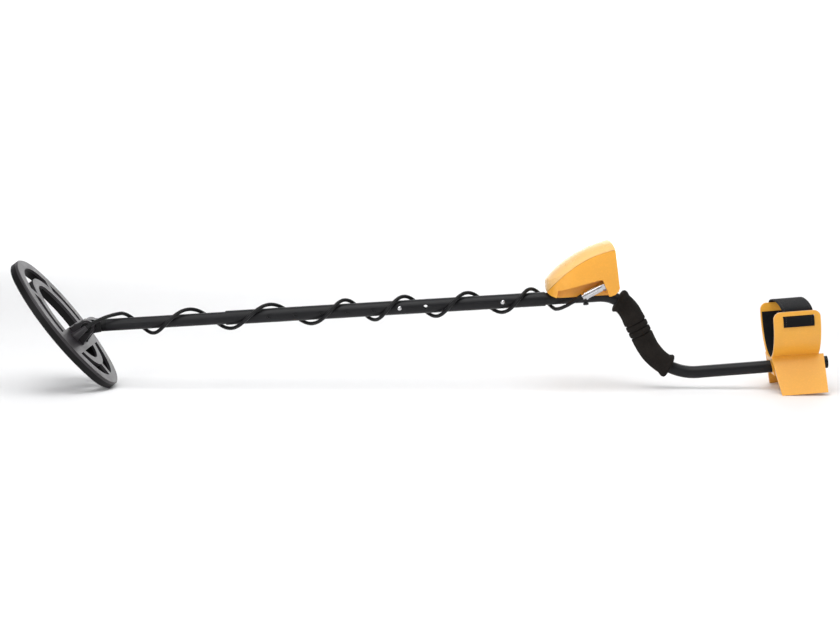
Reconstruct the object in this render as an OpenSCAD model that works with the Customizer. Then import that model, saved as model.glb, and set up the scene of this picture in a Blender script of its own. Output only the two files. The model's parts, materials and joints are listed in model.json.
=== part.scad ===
// Metal detector: search coil on a telescoping stem, control box, S-shaped
// handle tube with a foam grip, arm cuff with a stand, and the coil cable.
// Millimetres. +X to the user's elbow, +Y to the user's right, +Z up.

/* [Search coil] */
// Long way across the coil
coil_length = 228.6; // [180:1:300]
// Short way across the coil
coil_width = 165; // [130:1:220]
// Thickness of the coil's rim
coil_thick = 14; // [11:0.5:20]
// Width of the coil's outer ring
ring_width = 16; // [13:0.5:22]
// Angle of the coil's face below the horizontal, at rest
coil_angle = 52.3; // [0:0.1:80]
// Distance from the coil's middle to the pivot, towards the heel
pivot_back = 24; // [10:1:40]
// Height of the pivot above the coil's top face
pivot_rise = 20; // [18:0.5:30]

/* [Stem] */
// Angle that the stem rises to the rear, at rest
stem_angle = 3.55; // [0:0.05:20]
// Outer diameter of the upper stem
upper_dia = 20.8; // [18:0.1:28]
// Wall of each stem tube
tube_wall = 1.3; // [1:0.1:2]
// Distance between two adjusting holes
hole_pitch = 38.1; // [25:0.1:50]
// Number of adjusting holes on each side
hole_count = 7; // [4:1:9]
// Hole that the lower stem's buttons stand in, counted from the front
hole_used = 6; // [1:1:9]
// Diameter of the adjusting holes
hole_dia = 6.2; // [5:0.1:8]
// Distance from the pivot to the first adjusting hole
first_hole = 266.7; // [240:0.1:320]

/* [Handle] */
// Distance from the pivot to the handle tube's first corner
corner_at = 781; // [760:1:820]
// Angle of the grip below the stem's line
grip_turn = 66.5; // [50:0.5:75]
// Angle that the rear tube rises to the rear
rear_angle = 4.7; // [0:0.1:15]
// Length of the rear tube from the second corner
rear_run = 240; // [220:1:300]
// Diameter of the foam grip
grip_dia = 31; // [27:0.5:38]

/* [Control box] */
// Width of the control box
box_width = 84; // [70:1:105]
// Height of the saddle under the box, above the tube's line
box_floor = 3; // [2:0.5:6]

/* [Arm cuff] */
// Width across the arm cuff
cuff_width = 118; // [95:1:145]
// Length of the arm cuff along the arm
cuff_length = 67; // [55:1:90]
// Height of the cuff's straight sides above its round bottom
cuff_side = 16; // [8:1:30]
// Depth of the stand below the rear tube's line
stand_depth = 34.5; // [28:0.5:45]

/* [Hidden] */
$fn = 72;

yellow = [0.95, 0.62, 0.15];
black = [0.07, 0.07, 0.075];
grey = [0.30, 0.30, 0.31];
steel = [0.75, 0.76, 0.78];
copper = [0.72, 0.40, 0.22];

gap = 0.05;              // running gap between two tubes
upper_r = upper_dia / 2;
upper_in = upper_r - tube_wall;
tube_r = upper_in - gap; // lower stem and handle tube
tube_in = tube_r - tube_wall;
bolt_r = 4;

// levels of the coil in its own frame, whose origin is the pivot
coil_top = -pivot_rise;
coil_foot = coil_top - coil_thick;
lid_thick = 4;
coil_split = coil_top - lid_thick;
edge = 2;                // chamfer of the coil's lower edge

// the pivot's height puts the coil's heel on the floor
heel_x = coil_length / 2 - pivot_back;
pivot_z = max(heel_x * sin(coil_angle) - (coil_foot + edge) * cos(coil_angle),
    (heel_x - edge) * sin(coil_angle) - coil_foot * cos(coil_angle));

used_hole = first_hole + (hole_used - 1) * hole_pitch;
upper_front = first_hole - 64.5;
upper_back = 670;
lower_front = 27;
lower_back = used_hole + 28;
clip_at = 608;           // the handle tube's buttons
handle_front = clip_at - 30;

cuff_at = 158.5;         // the cuff's front along the rear tube
stand_front = 7.5;       // the stand's front corners, behind the cuff's front
grip_angle = grip_turn - stem_angle;
// the second corner's height puts the stand's front corners on the floor
corner_z = stand_depth * cos(rear_angle) - (cuff_at + stand_front) * sin(rear_angle);
grip_run = (pivot_z + corner_at * sin(stem_angle) - corner_z) / sin(grip_angle);
bend_1 = 50;
bend_2 = 79;
rear_turn = grip_angle + rear_angle;
run_1 = bend_1 * tan(grip_turn / 2);
run_2 = bend_2 * tan(rear_turn / 2);

// half way between the coil's toe and the end of the rear tube is at X = 0
cap_thick = 2.5;
toe_x = coil_length / 2 + pivot_back;
toe_reach = max(toe_x * cos(coil_angle) - (coil_foot + edge) * sin(coil_angle),
    (toe_x - edge) * cos(coil_angle) - coil_foot * sin(coil_angle));
rear_reach = corner_at * cos(stem_angle) + grip_run * cos(grip_angle)
    + (rear_run + cap_thick) * cos(rear_angle) + tube_r * sin(rear_angle);
pivot_x = (toe_reach - rear_reach) / 2;

box_at = 671;            // the box's nose along the stem
seam_x = 122;            // centre of the cover's long curve, in the box's frame
seam_z = -80;
seam_r = 151;
crown_r = 163.5;
crown_arc = 74;
wall = 2.5;

plug_x = 51.3;
plug_z = 3.5;
plug_y = -32;
plug_angle = 24.4;

cuff_r = cuff_width / 2;
cuff_wall = 3;
cuff_floor = tube_r + 2.2;
cuff_mid = cuff_floor + cuff_r;
cuff_top = cuff_mid + cuff_side;

ear_in = 11.2;
ear_out = 19.2;
nut_y = ear_out + 4;
gland_y = -ear_out - 12;
gland_top = 3;
screw_at = box_at + 58;
cuff_bolt_at = cuff_at + cuff_length / 2;

// ---- frames ----

module at_stem(x = 0, z = 0) {
    translate([pivot_x, 0, pivot_z]) rotate([0, -stem_angle, 0]) translate([x, 0, z]) children();
}

module at_coil() {
    translate([pivot_x, 0, pivot_z]) rotate([0, coil_angle, 0]) children();
}

// the handle tube's second corner, with +X along the rear tube
module at_rear(x = 0, z = 0) {
    at_stem(corner_at) rotate([0, grip_turn, 0]) translate([grip_run, 0, 0])
        rotate([0, -rear_turn, 0]) translate([x, 0, z]) children();
}

module at_box() {
    at_stem(box_at) children();
}

// a cylinder along Y, from y = a to y = b
module peg(r, a, b, x = 0, z = 0) {
    translate([x, a, z]) rotate([-90, 0, 0]) cylinder(h = b - a, r = r);
}

// a cylinder along X, from x = a to x = b
module rod(r, a, b) {
    translate([a, 0, 0]) rotate([0, 90, 0]) cylinder(h = b - a, r = r);
}

module pipe(r_out, r_in, a, b) {
    translate([a, 0, 0]) rotate([0, 90, 0]) difference() {
        cylinder(h = b - a, r = r_out);
        translate([0, 0, -1]) cylinder(h = b - a + 2, r = r_in);
    }
}

// drawn in XZ, from y = a to y = b
module slab(a, b) {
    translate([0, b, 0]) rotate([90, 0, 0]) linear_extrude(height = b - a) children();
}

// ---- search coil ----

// an oval of four arcs: half sizes a and b, end arcs of radius r
function side_off(a, b, r) = ((a - r) * (a - r) - (b - r) * (b - r)) / (2 * (b - r));

module oval(a, b, r, inset = 0) {
    e = a - r;
    d = side_off(a, b, r);
    long_r = b + d;
    tip_x = long_r * e / (long_r - r);
    translate([e, 0]) circle(r = r - inset, $fn = 120);
    translate([-e, 0]) circle(r = r - inset, $fn = 120);
    intersection() {
        translate([0, -d]) circle(r = long_r - inset, $fn = 240);
        translate([0, d]) circle(r = long_r - inset, $fn = 240);
        square([2 * tip_x - 0.6 * inset, 3 * b], center = true);
    }
}

out_a = coil_length / 2;
out_b = coil_width / 2;
out_r = 0.8 * out_b;
in_a = out_a - ring_width - 19;
in_b = out_b - ring_width - 10.5;
in_r = 0.75 * in_b;
in_width = 13;
hub_x = pivot_back;       // the pivot, seen from the coil's middle

module outer_oval(inset = 0) {
    oval(out_a, out_b, out_r, inset);
}

module inner_oval(inset = 0) {
    oval(in_a, in_b, in_r, inset);
}

module front_web(side) {
    rotate(side * 143) translate([50, -4]) square([38, 8]);
}

// everything of the coil that isn't an opening
module coil_plan(inset) {
    difference() {
        outer_oval(inset);
        outer_oval(ring_width);
    }
    difference() {
        inner_oval(0);
        inner_oval(in_width);
    }
    intersection() {
        outer_oval(ring_width - 1);
        union() {
            difference() {
                union() {
                    front_web(1);
                    front_web(-1);
                }
                inner_oval(1);
            }
            translate([hub_x - 16, -out_b]) square([41, coil_width]);
            translate([in_a - 3, -5]) square([30, 10]);
        }
    }
}

module disc(low, high) {
    translate([-pivot_back, 0, low]) linear_extrude(height = high - low) children();
}

// the outer ring as a solid whose edge leans from one inset to another
module rim_slice(low, high, inset_low, inset_high) {
    e = out_a - out_r;
    d = side_off(out_a, out_b, out_r);
    long_r = out_b + d;
    tip_x = long_r * e / (long_r - out_r);
    translate([-pivot_back, 0, low]) {
        for (side = [-1, 1]) translate([side * e, 0, 0])
            cylinder(h = high - low, r1 = out_r - inset_low, r2 = out_r - inset_high, $fn = 120);
        intersection() {
            translate([0, -d, 0])
                cylinder(h = high - low, r1 = long_r - inset_low, r2 = long_r - inset_high, $fn = 240);
            translate([0, d, 0])
                cylinder(h = high - low, r1 = long_r - inset_low, r2 = long_r - inset_high, $fn = 240);
            translate([-tip_x, -2 * out_b, -1]) cube([2 * tip_x, 4 * out_b, high - low + 2]);
        }
    }
}

module coil_bottom_shell() {
    color(black) at_coil() difference() {
        union() {
            disc(coil_foot, coil_split) coil_plan(2.5);
            difference() {
                union() {
                    rim_slice(coil_foot, coil_foot + edge, edge, 0);
                    rim_slice(coil_foot + edge, coil_split, 0, 0);
                }
                disc(coil_foot - 1, coil_split + 1) outer_oval(ring_width - 2);
            }
        }
        // channels for the two windings
        disc(coil_foot + 3, coil_split + 1) difference() {
            outer_oval(4);
            outer_oval(12);
        }
        disc(coil_foot + 3, coil_split + 1) difference() {
            inner_oval(3);
            inner_oval(10);
        }
    }
}

module coil_top_shell() {
    color(grey) at_coil() difference() {
        union() {
            disc(coil_split, coil_top) coil_plan(2.5);
            difference() {
                union() {
                    rim_slice(coil_split, coil_top - 1.5, 0, 0);
                    rim_slice(coil_top - 1.5, coil_top, 0, 1.5);
                }
                disc(coil_split - 1, coil_top + 1) outer_oval(ring_width - 2);
            }
            // two ears, each a round end on a foot
            for (side = [-1, 1]) {
                slab(side > 0 ? ear_in : -ear_out, side > 0 ? ear_out : -ear_in) {
                    circle(r = 11);
                    polygon([[-11, 0], [11, 0], [15, coil_top + 4], [18, coil_top - 1],
                        [-16, coil_top - 1], [-14, coil_top + 4]]);
                }
            }
        }
        peg(bolt_r + 0.1, -ear_out - 1, ear_out + 1);
        // seat of the gland
        translate([0, gland_y, coil_split - 1]) cylinder(h = lid_thick + 2, r = 5);
    }
}

module transmit_winding() {
    color(copper) at_coil() disc(coil_foot + 3, coil_split - 0.5) difference() {
        outer_oval(4.6);
        outer_oval(11.4);
    }
}

module receive_winding() {
    color(copper) at_coil() disc(coil_foot + 3, coil_split - 0.5) difference() {
        inner_oval(3.6);
        inner_oval(9.4);
    }
}

module coil_gland() {
    color(grey) at_coil() translate([0, gland_y, 0]) {
        translate([0, 0, coil_split]) cylinder(h = lid_thick, r = 4.9);
        translate([0, 0, coil_top]) cylinder(h = 4, r = 6.7);
        translate([0, 0, coil_top + 4]) cylinder(h = gland_top - coil_top - 4, r1 = 6, r2 = 3.6);
    }
}

module coil_bolt() {
    color(black) at_coil() {
        peg(bolt_r, -ear_out - 0.5, nut_y + 6.5);
        // the square neck's head, on the near ear
        peg(8, -ear_out - 4.5, -ear_out);
    }
}

module wing_nut() {
    color(black) at_coil() difference() {
        union() {
            peg(8.5, ear_out + 0.4, nut_y + 8);
            // two wings, in line with the stem
            rotate([0, -coil_angle - stem_angle, 0]) slab(ear_out + 1.5, nut_y + 12) {
                translate([11, 0]) circle(r = 7);
                translate([-11, 0]) circle(r = 7);
                translate([-11, -3]) square([22, 6]);
            }
        }
        peg(bolt_r + 0.1, ear_out, nut_y + 6.6);
    }
}

// ---- lower stem ----

module stem_fork() {
    color(black) at_stem() {
        difference() {
            union() {
                slab(-9.5, 9.5) {
                    circle(r = 11);
                    polygon([[0, -11], [19, -8.6], [19, 8.6], [0, 11]]);
                }
                translate([18.5, 0, 0]) rotate([0, 90, 0]) cylinder(h = lower_front - 18.5, r = tube_r);
                translate([lower_front, 0, 0]) rotate([0, 90, 0]) cylinder(h = 26, r = tube_in);
            }
            peg(bolt_r + 0.1, -10, 10);
        }
    }
}

module mounting_washer(a) {
    color([0.12, 0.12, 0.12]) at_stem() difference() {
        peg(10.5, a, a + 1.6);
        peg(bolt_r + 0.1, a - 1, a + 3);
    }
}

module washer_near() {
    mounting_washer(-11.1);
}

module washer_far() {
    mounting_washer(9.5);
}

module lower_tube() {
    color(black) at_stem() difference() {
        pipe(tube_r, tube_in, lower_front, lower_back);
        peg(hole_dia / 2, -20, 20, used_hole);
    }
}

// a spring button: domed peg with a flange that stays inside its tube
flange_in = 5;
flange_out = 6.1;

module spring_button(x, side) {
    color(steel) at_stem(x) rotate(side > 0 ? 180 : 0) {
        peg(hole_dia / 2 - 0.1, -upper_r - 0.4, -flange_in);
        peg(4, -flange_out, -flange_in);
        intersection() {
            peg(hole_dia / 2 - 0.1, -upper_r - 3, -upper_r);
            translate([0, -upper_r + 2.6, 0]) sphere(r = 4.2);
        }
    }
}

// a flat spring bent into a U, its legs against the two buttons
module clip_spring(x) {
    color(steel) at_stem(x) {
        for (side = [-1, 1])
            translate([-24, side > 0 ? flange_in - 0.6 : -flange_in, -2.5]) cube([28, 0.6, 5]);
        translate([-24, 0, -2.5]) rotate(90) rotate_extrude(angle = 180)
            translate([flange_in - 0.6, 0]) square([0.6, 5]);
    }
}

module lower_clip_spring() {
    clip_spring(used_hole);
}

module lower_button_near() {
    spring_button(used_hole, -1);
}

module lower_button_far() {
    spring_button(used_hole, 1);
}

// ---- upper stem and handle tube ----

module upper_tube() {
    color(black) at_stem() difference() {
        pipe(upper_r, upper_in, upper_front, upper_back);
        for (i = [0 : hole_count - 1]) peg(hole_dia / 2, -20, 20, first_hole + i * hole_pitch);
        peg(hole_dia / 2, -20, 20, clip_at);
    }
}

// a bend, solid, that starts along +X and turns down, drawn from angle a to angle b
module bend_part(bend, r, a, b) {
    translate([0, 0, -bend]) rotate([0, a, 0]) rotate([0, -90, -90])
        rotate_extrude(angle = b - a, $fn = 144) translate([bend, 0]) circle(r = r, $fn = 48);
}

module first_bend(r, a = 0.7) {
    at_stem(corner_at - run_1) bend_part(bend_1, r, a, grip_turn - 0.7);
}

module second_bend(r, a = 0.45) {
    at_rear(run_2) mirror([1, 0, 0]) mirror([0, 0, 1]) bend_part(bend_2, r, a, rear_turn - 0.45);
}

module at_grip(x = 0) {
    at_stem(corner_at) rotate([0, grip_turn, 0]) translate([x, 0, 0]) children();
}

module grip_straight(r) {
    at_grip() rod(r, run_1 + 0.6, grip_run - run_2 - 0.6);
}

// the places where a bend meets the grip's straight run
module at_grip_joints() {
    at_grip(run_1) children();
    at_grip(grip_run - run_2) children();
}

// the handle tube's line as a solid: straight runs and bends that meet in balls
module tube_line(r, front, back) {
    at_stem() rod(r, front, corner_at - run_1 - 0.6);
    first_bend(r);
    grip_straight(r);
    second_bend(r);
    at_rear() rod(r, run_2 + 0.6, back);
    at_stem(corner_at - run_1) sphere(r = r + 0.1);
    at_grip_joints() sphere(r = r + 0.1);
    at_rear(run_2) sphere(r = r + 0.1);
}

module handle_tube() {
    color(black) difference() {
        tube_line(tube_r, handle_front, rear_run);
        tube_line(tube_in, handle_front - 1, rear_run + 1);
        at_stem() peg(hole_dia / 2, -20, 20, clip_at);
        // hole for the box's screw, and for the cuff's bolt
        at_stem(screw_at) cylinder(h = 40, r = 2.3, center = true);
        at_rear(cuff_bolt_at) cylinder(h = 40, r = 2.6, center = true);
    }
}

module handle_clip_spring() {
    clip_spring(clip_at);
}

module handle_button_near() {
    spring_button(clip_at, -1);
}

module handle_button_far() {
    spring_button(clip_at, 1);
}

grip_r = grip_dia / 2;

// foam sleeve with a flange at each end and three grooves
module hand_grip() {
    color(black) difference() {
        union() {
            first_bend(grip_r, 36);
            grip_straight(grip_r);
            second_bend(grip_r, 33);
            at_grip_joints() sphere(r = grip_r + 0.1);
            at_stem(corner_at - run_1, -bend_1) rotate([0, 36, 0]) translate([0, 0, bend_1])
                rod(grip_r + 1.4, -3.5, 3.5);
            at_rear(run_2, bend_2) rotate([0, 33, 0]) translate([0, 0, -bend_2])
                rod(grip_r + 1.4, -3.5, 3.5);
        }
        tube_line(tube_r, handle_front, rear_run);
        at_grip(run_1 + 23.6) for (x = [-7, 0, 7]) difference() {
            rod(grip_r + 3, x - 0.6, x + 0.6);
            rod(grip_r - 1.4, x - 1, x + 1);
        }
    }
}

module tube_end_cap() {
    color(black) at_rear(rear_run) {
        translate([-14, 0, 0]) rotate([0, 90, 0]) cylinder(h = 14, r = tube_in);
        rotate([0, 90, 0]) cylinder(h = cap_thick, r = tube_r);
    }
}

// ---- control box, in a frame with its origin under the nose, on the tube's line ----

// side profile, drawn a little smaller for the inside
box_side = [[0, 18], [0.6, 13], [3, 9.5], [7, 6.6], [13, 4.4], [20, box_floor], [92, box_floor],
    [98, 5], [103, 9], [105, 14], [101.6, 68], [101, 72], [99, 77], [95, 81], [88, 90], [0, 90]];
box_inside = [[3.5, 19], [8, 14], [14, 12.6], [100, 12.6], [102.2, 16], [99, 67], [98, 72],
    [96, 76], [90, 90], [3.5, 90]];

// plan profile with a round nose
module box_plan(inset) {
    half = box_width / 2;
    translate([half, 0]) circle(r = half - inset, $fn = 120);
    translate([half, inset - half]) square([110 - half, box_width - 2 * inset]);
}

// a crown that is round across the box and long along it
module crown(inset) {
    translate([seam_x, 0, seam_z]) rotate([90, 0, 0]) rotate_extrude($fn = 240) intersection() {
        translate([crown_r - inset - crown_arc, 0]) circle(r = crown_arc, $fn = 180);
        translate([0, -60]) square([200, 120]);
    }
}

module box_form(inset, side) {
    intersection() {
        slab(-60, 60) polygon(side);
        translate([0, 0, -5]) linear_extrude(height = 110) box_plan(inset);
        crown(inset);
    }
}

module under_seam(r) {
    translate([seam_x, 0, seam_z]) rotate([90, 0, 0])
        cylinder(h = 140, r = r, center = true, $fn = 240);
}

// everything that is let into the rear face, in the face's own frame
face_tilt = atan(3.4 / 54);
panel_wide = 66;
panel_high = 46;

module at_face() {
    translate([103.3, 0, 41]) rotate([0, -face_tilt, 0]) children();
}

// a block on the rear face, from depth a to depth b
module face_block(a, b, wide, high, y = 0, z = 0) {
    at_face() translate([a, y - wide / 2, z - high / 2]) cube([b - a, wide, high]);
}

key_y = [-24, -8, 8, 24];
speaker_x = 52;
speaker_z = 27;
phone_x = 80;
phone_z = 24;
// inner face of the box's far side
far_side = box_width / 2 - wall;
key_z = -15;
window_z = 7;

module recess() {
    slab(-box_width, plug_y + 9) polygon([[16.8, 14.4], [76.8, 27], [79.6, 27.4], [81.5, 26],
        [88, 8.9], [90, 0], [14, 0]]);
}

module plug_line(x = 0) {
    translate([plug_x, plug_y, plug_z]) rotate([0, -plug_angle, 0]) translate([x, 0, 0]) children();
}

module housing_shell() {
    color(yellow) at_box() difference() {
        intersection() {
            box_form(0, box_side);
            under_seam(seam_r - 0.2);
        }
        difference() {
            box_form(wall, box_inside);
            // walls round the recess
            slab(-box_width, plug_y + 9 + wall) polygon([[12, 15.5], [12, 17], [75, 29.8],
                [81, 30], [84.5, 27], [92, 6], [14, 6]]);
        }
        recess();
        // groove over the tube
        rod(tube_r + 0.15, -1, 107);
        translate([58, 0, 6]) cylinder(h = 6.4, r = 2.1);
        // the rear face's panel, window and keys
        face_block(-1.6, 6, panel_wide + 0.4, panel_high + 0.4);
        face_block(-8, 6, 50, 22, 0, window_z);
        for (y = key_y) face_block(-8, 6, 11, 8, y, key_z);
        // coil socket
        plug_line() rod(5.1, 28, 42);
        // headphone socket and the speaker's grille, on the far side
        peg(4.1, far_side - 5, far_side + 20, phone_x, phone_z);
        peg(1.2, far_side - 5, far_side + 20, speaker_x, speaker_z);
        for (i = [0 : 5]) peg(1.2, far_side - 5, far_side + 20, speaker_x + 5 * cos(60 * i),
            speaker_z + 5 * sin(60 * i));
    }
}

module battery_cover() {
    color([0.96, 0.72, 0.35]) at_box() difference() {
        box_form(0, box_side);
        box_form(wall, box_inside);
        under_seam(seam_r + 0.2);
    }
}

module box_screw() {
    color(black) at_box() translate([58, 0, 0]) {
        translate([0, 0, -tube_r - 0.3]) cylinder(h = tube_r + 12.5, r = 2);
        translate([0, 0, -tube_r - 3.4]) cylinder(h = 3.1, r = 4);
    }
}

module face_panel() {
    color([0.12, 0.12, 0.13]) at_box() difference() {
        face_block(-1.6, -0.3, panel_wide, panel_high);
        face_block(-3, 3, 50, 22, 0, window_z);
        for (y = key_y) face_block(-3, 3, 11, 8, y, key_z);
    }
}

module lcd_window() {
    color([0.6, 0.66, 0.62, 0.4]) at_box() {
        face_block(-2.4, -0.5, 49.6, 21.6, 0, window_z);
    }
}

module lcd_module() {
    color([0.55, 0.6, 0.5]) at_box() {
        face_block(-9, -5.2, 54, 27, 0, window_z);
    }
}

module keypad_backing() {
    color(grey) at_box() {
        face_block(-9, -5, 62, 9, 0, key_z);
    }
}

module face_key(i) {
    color(grey) at_box() {
        face_block(-3.1, 0.8, 10.4, 7.4, key_y[i], key_z);
        // flange that keeps the key in
        face_block(-4.2, -3.1, 13, 9, key_y[i], key_z);
    }
}

module key_power() {
    face_key(0);
}

module key_mode() {
    face_key(1);
}

module key_minus() {
    face_key(2);
}

module key_plus() {
    face_key(3);
}

module circuit_board() {
    color([0.10, 0.30, 0.16]) at_box() face_block(-10.6, -9, 68, 44, 0, 0);
}

// battery tray: an open box for four cells, two on two
cell_r = 7.1;
cell_low = 20.95;
cell_at = [[-4, cell_low], [11, cell_low], [-4, cell_low + 14.3], [11, cell_low + 14.3]];
tray_x = 35;
tray_long = 55;

module battery_tray() {
    color([0.15, 0.15, 0.15]) at_box() difference() {
        translate([tray_x, -12.5, 12.6]) cube([tray_long, 32, 24]);
        translate([tray_x + 1.2, -11.3, 13.8]) cube([tray_long - 2.4, 29.6, 30]);
    }
}

module battery_cell(i) {
    color([0.2, 0.25, 0.4]) at_box() translate([0, cell_at[i][0], cell_at[i][1]]) {
        rod(cell_r, tray_x + 2.4, tray_x + tray_long - 3.4);
        rod(2.7, tray_x + tray_long - 3.4, tray_x + tray_long - 1.8);
    }
}

module cell_low_left() {
    battery_cell(0);
}

module cell_low_right() {
    battery_cell(1);
}

module cell_high_left() {
    battery_cell(2);
}

module cell_high_right() {
    battery_cell(3);
}

module contact_plate(x) {
    color(steel) at_box() translate([x, -10, 15]) cube([0.6, 27, 24]);
}

module contact_front() {
    contact_plate(tray_x + 1.2);
}

module contact_rear() {
    contact_plate(tray_x + tray_long - 1.8);
}

module speaker() {
    color(grey) at_box() {
        peg(12, far_side - 5.5, far_side - 1, speaker_x, speaker_z);
        peg(7, far_side - 11.5, far_side - 5.5, speaker_x, speaker_z);
    }
}

module headphone_socket() {
    color(black) at_box() difference() {
        union() {
            peg(6, far_side - 11.5, far_side - 0.2, phone_x, phone_z);
            peg(4, far_side - 0.2, far_side + 3.9, phone_x, phone_z);
            peg(5.8, far_side + 2.6, far_side + 3.9, phone_x, phone_z);
        }
        peg(1.8, far_side - 9.5, far_side + 6, phone_x, phone_z);
    }
}

// ---- coil plug ----

module coil_socket() {
    color(steel) at_box() plug_line() difference() {
        union() {
            rod(5, 24, 44);
            rotate([0, 90, 0]) translate([0, 0, 32]) cylinder(h = 3.6, r = 7.4, $fn = 6);
        }
        rod(3.4, 23, 30);
    }
}

module plug_barrel() {
    color(steel) at_box() plug_line() {
        rod(4.2, 0, 24);
        rod(3.3, 24, 29);
    }
}

module plug_ring() {
    color(steel) at_box() plug_line() difference() {
        union() {
            rod(6, 4, 31);
            rod(6.6, 4, 7);
        }
        rod(4.3, 3, 8);
        rod(5.1, 8, 32);
        for (i = [0 : 15]) rotate([22.5 * i, 0, 0]) translate([0, 0, 6.5]) rod(0.7, 9, 24);
    }
}

boot_long = 12;

module plug_boot() {
    color(black) at_box() plug_line() difference() {
        union() {
            rotate([0, 90, 0]) translate([0, 0, -boot_long]) cylinder(h = boot_long, r1 = 3.5, r2 = 5);
            for (x = [-9, -6, -3]) rod(4.9 + x / 9, x, x + 1.2);
        }
        rod(2.7, -boot_long - 1, -boot_long + 6);
    }
}

// ---- arm cuff and stand ----

// drawn in YZ, from x = a to x = b
module across(a, b) {
    translate([a, 0, 0]) rotate([90, 0, 90]) linear_extrude(height = b - a) children();
}

// the cuff's section: a half round with straight sides
module cuff_section(r, top) {
    translate([0, cuff_mid]) circle(r = r, $fn = 144);
    translate([-r, cuff_mid]) square([2 * r, top - cuff_mid]);
}

// side view of a wall with two round corners at the top
module wall_side(a, b, low, high, r) {
    translate([a, low]) square([b - a, high - r - low]);
    translate([a + r, low]) square([b - a - 2 * r, high - low]);
    translate([a + r, high - r]) circle(r = r);
    translate([b - r, high - r]) circle(r = r);
}

strap_at = cuff_at + 13.5;
strap_wide = 44;

module arm_cuff() {
    color(yellow) at_rear() difference() {
        intersection() {
            across(cuff_at, cuff_at + cuff_length) difference() {
                cuff_section(cuff_r, cuff_top);
                cuff_section(cuff_r - cuff_wall, cuff_top + 1);
                translate([0, cuff_top + 50]) square([200, 100], center = true);
            }
            slab(-100, 100) wall_side(cuff_at, cuff_at + cuff_length, cuff_floor - 5, cuff_top, 10);
        }
        // slot for the strap
        translate([strap_at - 0.5, -cuff_r - 5, cuff_top - 8.5]) cube([strap_wide + 1, 12, 2.4]);
        translate([cuff_bolt_at, 0, 0]) cylinder(h = 40, r = 2.6);
    }
}

module cuff_pad() {
    color([0.10, 0.10, 0.10]) at_rear() difference() {
        across(cuff_at + 1.5, cuff_at + cuff_length - 1.5) difference() {
            cuff_section(cuff_r - cuff_wall, cuff_mid + 4);
            cuff_section(cuff_r - cuff_wall - 4, cuff_mid + 5);
            translate([0, cuff_mid + 54]) square([200, 100], center = true);
        }
        translate([cuff_bolt_at, 0, 0]) cylinder(h = 40, r = 6.5);
    }
}

// a band from its flap on the near side, through the slot and over to the far side
strap_line = [[-60.8, -22], [-60.8, -6.6], [-55.2, -6.6], [-54, -2], [-45, 3], [-30, 6.5],
    [-10, 9], [10, 9.5], [30, 8.5], [45, 6], [55, 3.5], [60.9, 0.5], [60.9, -14], [59.3, -14],
    [59.3, 0.3], [54.5, 1.9], [45, 4.4], [30, 6.9], [10, 7.9], [-10, 7.4], [-30, 4.9],
    [-44.3, 1.4], [-52.4, -3], [-53.4, -8.2], [-59.2, -8.2], [-59.2, -22]];

module cuff_strap() {
    color([0.13, 0.13, 0.13]) at_rear() across(strap_at, strap_at + strap_wide)
        translate([0, cuff_top]) polygon([for (p = strap_line) [p[0] * cuff_r / 59, p[1]]]);
}

module cuff_stand() {
    color(yellow) at_rear() difference() {
        intersection() {
            across(cuff_at - 3, cuff_at + 76) difference() {
                polygon([[-26, 19], [-57, -stand_depth], [57, -stand_depth], [26, 19]]);
                difference() {
                    polygon([[-22.5, 8], [-56.7, -stand_depth - 5.5], [56.7, -stand_depth - 5.5],
                        [22.5, 8]]);
                    translate([-14, -12]) square([28, 25]);
                }
                circle(r = tube_r);
                translate([0, cuff_mid]) circle(r = cuff_r, $fn = 144);
            }
            slab(-100, 100) polygon([[cuff_at - 2, 25], [cuff_at + stand_front, -stand_depth - 5],
                [cuff_at + 72.5, -stand_depth - 5], [cuff_at + 74.5, 25]]);
        }
        translate([cuff_bolt_at, 0, -20]) cylinder(h = 40, r = 2.6);
    }
}

module cuff_bolt() {
    color(steel) at_rear(cuff_bolt_at) {
        translate([0, 0, -17]) cylinder(h = 17 + cuff_floor + cuff_wall + 1, r = 2.5);
        // the head's rim rests on the round floor
        translate([0, 0, cuff_floor + cuff_wall + 0.24]) cylinder(h = 2.4, r = 5);
    }
}

module cuff_nut() {
    color(steel) at_rear(cuff_bolt_at) translate([0, 0, -16]) difference() {
        cylinder(h = 4, r = 5, $fn = 6);
        translate([0, 0, -1]) cylinder(h = 6, r = 2.5);
    }
}

// ---- coil cable, wound along the stem from the gland to the plug ----

cable_r = 2.7;
wind_r = upper_r + 5.4;
sides = 8;
// turns of the cable, counted from its near side, and how far along the stem each falls
wind = [[0.25, 44], [1, 117], [2, 236], [3, 355], [4, 440], [5, 531], [6, 629], [6.75, 687]];
per_turn = 10;

function spot(t) = [lookup(t, wind), -wind_r * cos(360 * t), wind_r * sin(360 * t)];
function bow(a, b, c, d, t) = pow(1 - t, 3) * a + 3 * t * pow(1 - t, 2) * b
    + 3 * t * t * (1 - t) * c + pow(t, 3) * d;

fold = coil_angle + stem_angle;
gland_end = [gland_top * sin(fold), gland_y, gland_top * cos(fold)];
gland_way = [sin(fold), 0, cos(fold)];
plug_way = [cos(plug_angle), 0, sin(plug_angle)];
plug_end = [box_at + plug_x, plug_y, plug_z] - (boot_long - 6) * plug_way;
line = concat(
    [for (i = [0 : 5]) bow(gland_end, gland_end + 22 * gland_way, spot(0.25) - [11, 11.4, 0],
        spot(0.25), i / 6)],
    [for (i = [0 : 6.5 * per_turn]) spot(0.25 + i / per_turn)],
    [for (i = [1 : 5]) bow(spot(6.75), spot(6.75) + [8, -9.5, 0], plug_end - 18 * plug_way,
        plug_end, i / 5)]);
last = len(line) - 1;

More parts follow.
